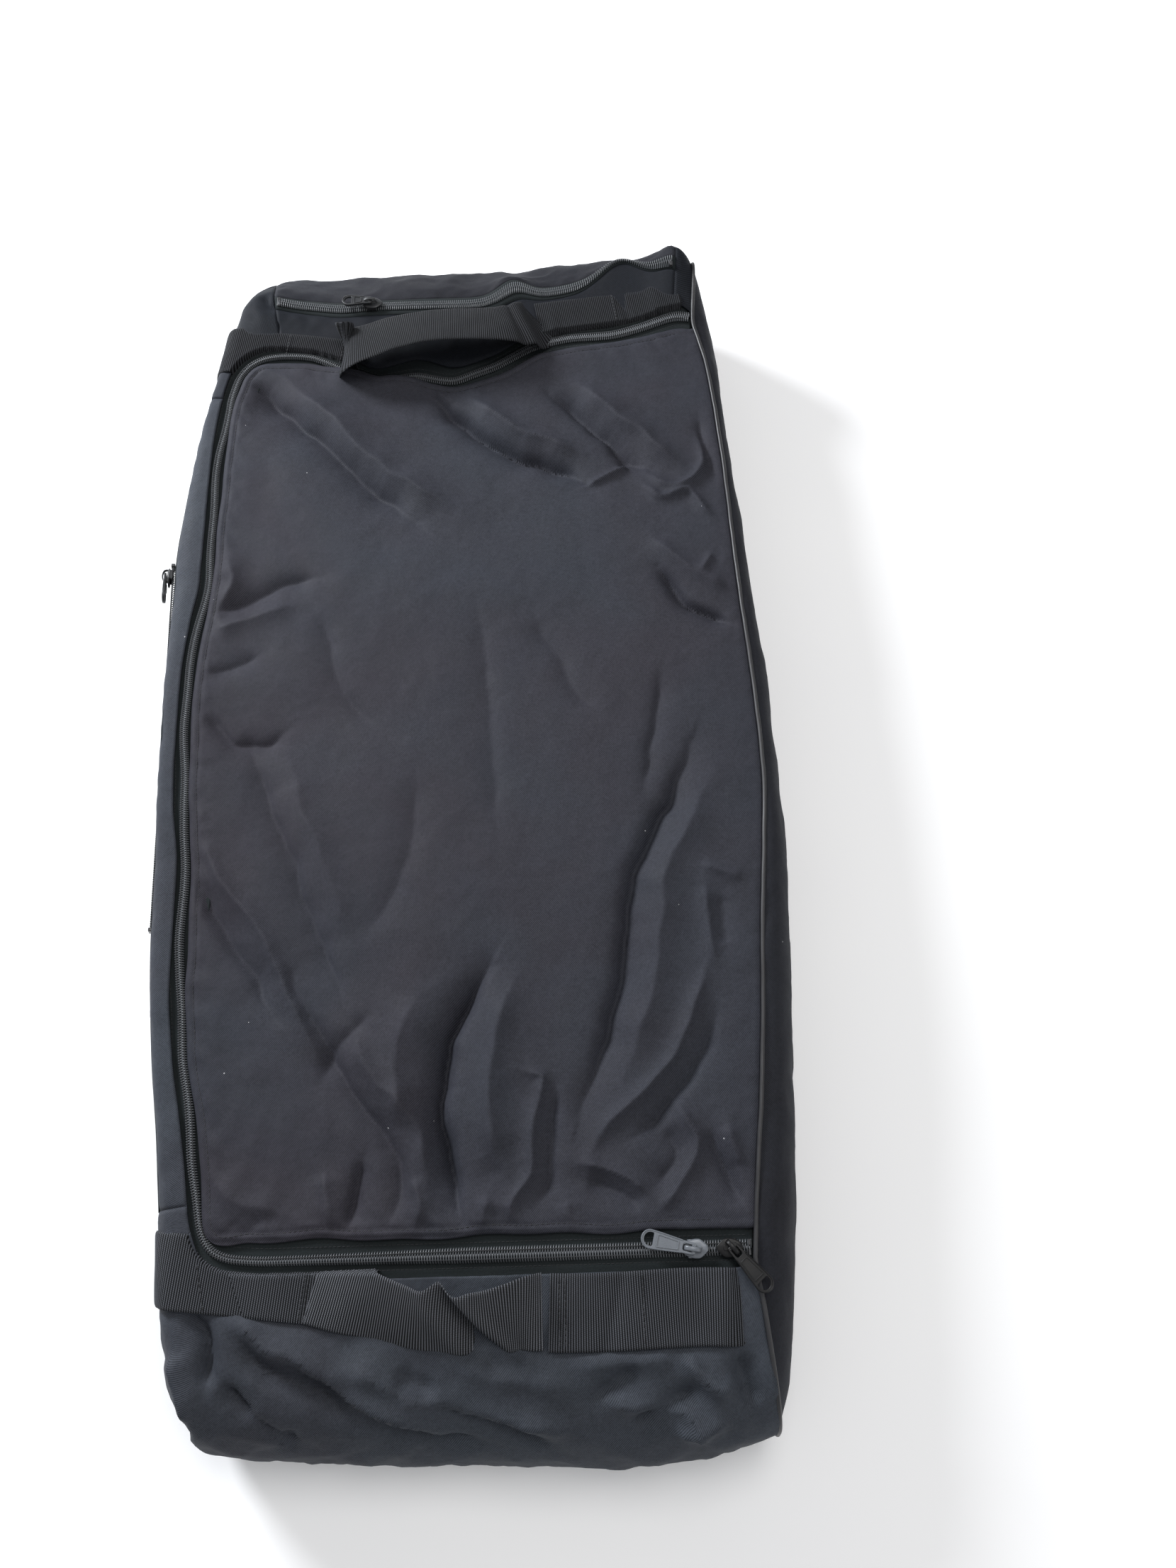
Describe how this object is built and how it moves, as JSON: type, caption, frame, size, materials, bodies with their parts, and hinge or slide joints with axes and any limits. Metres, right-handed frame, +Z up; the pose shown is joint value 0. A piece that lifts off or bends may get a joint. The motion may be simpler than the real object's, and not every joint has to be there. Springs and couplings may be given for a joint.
{
  "type": "hockey equipment bag",
  "caption": "Large soft zip-front hockey equipment bag, empty and lying on its back, with an opening flap, side and end pockets and webbing carry handles.",
  "frame": {"origin": "centre of the bounding box on the floor under the bag, which lies on its back panel", "axes": "+Z up, +Y along the bag's length towards the end with the end pocket, +X towards the piped side the flap folds over"},
  "size_m": [0.5342, 1.052, 0.1386],
  "materials": {
    "shell_fabric": "coated polyester twill, low sheen",
    "front_fabric": "coated polyester twill, low sheen",
    "zip_tape": "fine woven tape, matte",
    "zip_coil": "nylon coil, satin",
    "zip_stop": "satin",
    "webbing": "ribbed webbing, matte with a slight sheen",
    "piping": "smooth vinyl over cord",
    "lining": "thin taffeta, matte",
    "binding": "woven binding tape, matte",
    "thread": "bonded polyester thread",
    "grey_metal": "gunmetal paint, satin",
    "black_metal": "gloss black paint"
  },
  "bodies": {
    "bag": {"back_panel": "shell_fabric", "front_bottom_panel": "shell_fabric", "front_top_panel": "shell_fabric", "left_side_strip": "shell_fabric", "side_pocket_panel": "shell_fabric", "left_gusset_lower_end": "shell_fabric", "left_gusset_upper_end": "shell_fabric", "right_gusset": "shell_fabric", "bottom_end_panel": "shell_fabric", "end_pocket_panel": "shell_fabric", "top_end_corners": "shell_fabric", "hinge_margin": "front_fabric", "body_zip_tape": "zip_tape", "body_zip_coil": "zip_coil", "zip_end_tape": "zip_tape", "zip_end_coil": "zip_coil", "zip_end_stops": "zip_stop", "side_zip_tape": "zip_tape", "side_zip_coil": "zip_coil", "side_zip_stops": "zip_stop", "end_zip_tape": "zip_tape", "end_zip_coil": "zip_coil", "end_zip_stops": "zip_stop", "right_piping": "piping", "back_piping": "piping", "side_pocket_lining": "lining", "end_pocket_lining": "lining", "seam_binding": "binding", "bottom_strap_left": "webbing", "bottom_strap_right": "webbing", "top_strap_left": "webbing", "top_strap_right": "webbing", "bar_tacks": "thread"},
    "flap": {"main_flap": "front_fabric", "flap_zip_tape": "zip_tape", "flap_zip_coil": "zip_coil", "edge_topstitch": "thread"},
    "left_slider": {"left_slider": "grey_metal"},
    "left_pull": {"left_pull": "grey_metal"},
    "right_slider": {"right_slider": "black_metal"},
    "right_pull": {"right_pull": "black_metal"},
    "side_slider": {"side_slider": "grey_metal"},
    "side_pull": {"side_pull": "grey_metal"},
    "end_slider": {"end_slider": "grey_metal"},
    "end_pull": {"end_pull": "grey_metal"},
    "top_handle": {"top_handle": "webbing"},
    "bottom_handle": {"bottom_handle": "webbing"}
  },
  "joints": [
    {"name": "flap_hinge", "type": "hinge", "parent": "bag", "child": "flap", "pos_m": [0.209, 0.02, 0.1044], "axis": [0, 1, 0], "range_deg": [0, 140]},
    {"name": "left_slider_slide", "type": "slide", "parent": "bag", "child": "left_slider", "axis": [-1, 0, 0], "range_m": [0, 0.29]},
    {"name": "left_pull_hinge", "type": "hinge", "parent": "left_slider", "child": "left_pull", "pos_m": [0.1711, -0.384, 0.1098], "axis": [0.1736, 0.9848, 0], "range_deg": [0, 150]},
    {"name": "right_slider_slide", "type": "slide", "parent": "bag", "child": "right_slider", "axis": [1, 0, 0], "range_m": [-0.005, 0.0035]},
    {"name": "right_pull_hinge", "type": "hinge", "parent": "right_slider", "child": "right_pull", "pos_m": [0.1991, -0.384, 0.1098], "axis": [-0.766, -0.6428, 0], "range_deg": [0, 140]},
    {"name": "side_slider_slide", "type": "slide", "parent": "bag", "child": "side_slider", "axis": [0.0389, -0.9992, 0], "range_m": [0, 0.3]},
    {"name": "side_pull_hinge", "type": "hinge", "parent": "side_slider", "child": "side_pull", "pos_m": [-0.26427, 0.17767, 0.08463], "axis": [-0.2362, -0.0092, -0.9717], "range_deg": [0, 150]},
    {"name": "end_slider_slide", "type": "slide", "parent": "bag", "child": "end_slider", "axis": [1, 0, 0], "range_m": [-0.04, 0.085]},
    {"name": "end_pull_hinge", "type": "hinge", "parent": "end_slider", "child": "end_pull", "pos_m": [-0.0839, 0.45394, 0.11062], "axis": [0, 0.9946, -0.1038], "range_deg": [0, 150]},
    {"name": "top_handle_lift", "type": "hinge", "parent": "bag", "child": "top_handle", "pos_m": [-0.0169, 0.4423, 0.1067], "axis": [-0.9903, -0.1387, 0], "range_deg": [0, 65]},
    {"name": "bottom_handle_lift", "type": "hinge", "parent": "bag", "child": "bottom_handle", "pos_m": [-0.0094, -0.4473, 0.1067], "axis": [1, 0, 0], "range_deg": [0, 85]}
  ]
}
